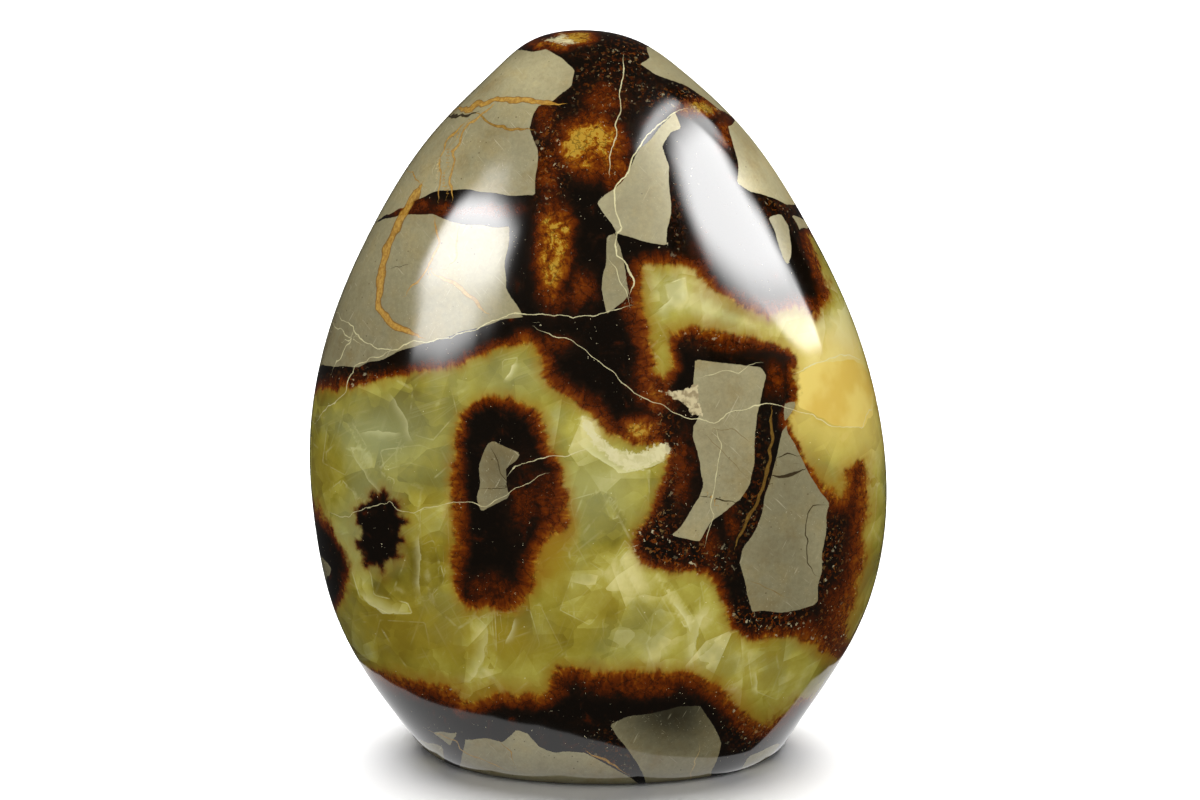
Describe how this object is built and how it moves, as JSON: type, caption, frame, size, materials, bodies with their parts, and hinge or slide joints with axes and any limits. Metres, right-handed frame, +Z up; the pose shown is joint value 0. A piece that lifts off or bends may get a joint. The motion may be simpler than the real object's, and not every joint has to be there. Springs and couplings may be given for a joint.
{
  "type": "polished septarian nodule",
  "caption": "Free-standing polished septarian nodule: an egg-shaped stone of grey mudstone blocks, dark brown aragonite bands and yellow-green calcite, cut flat underneath.",
  "frame": {"origin": "on the flat cut base, under the middle of the stone's box", "axes": "+Z up along the stone's height, +X along its width to the viewer's right, +Y from the front face to the rear"},
  "size_m": [0.1158, 0.0728, 0.145],
  "materials": {
    "polished_stone": "polished to a gloss; grey mudstone blocks, dark brown aragonite bands and yellow-green translucent calcite"
  },
  "bodies": {
    "root": {"septarian_nodule": "polished_stone"}
  },
  "joints": []
}
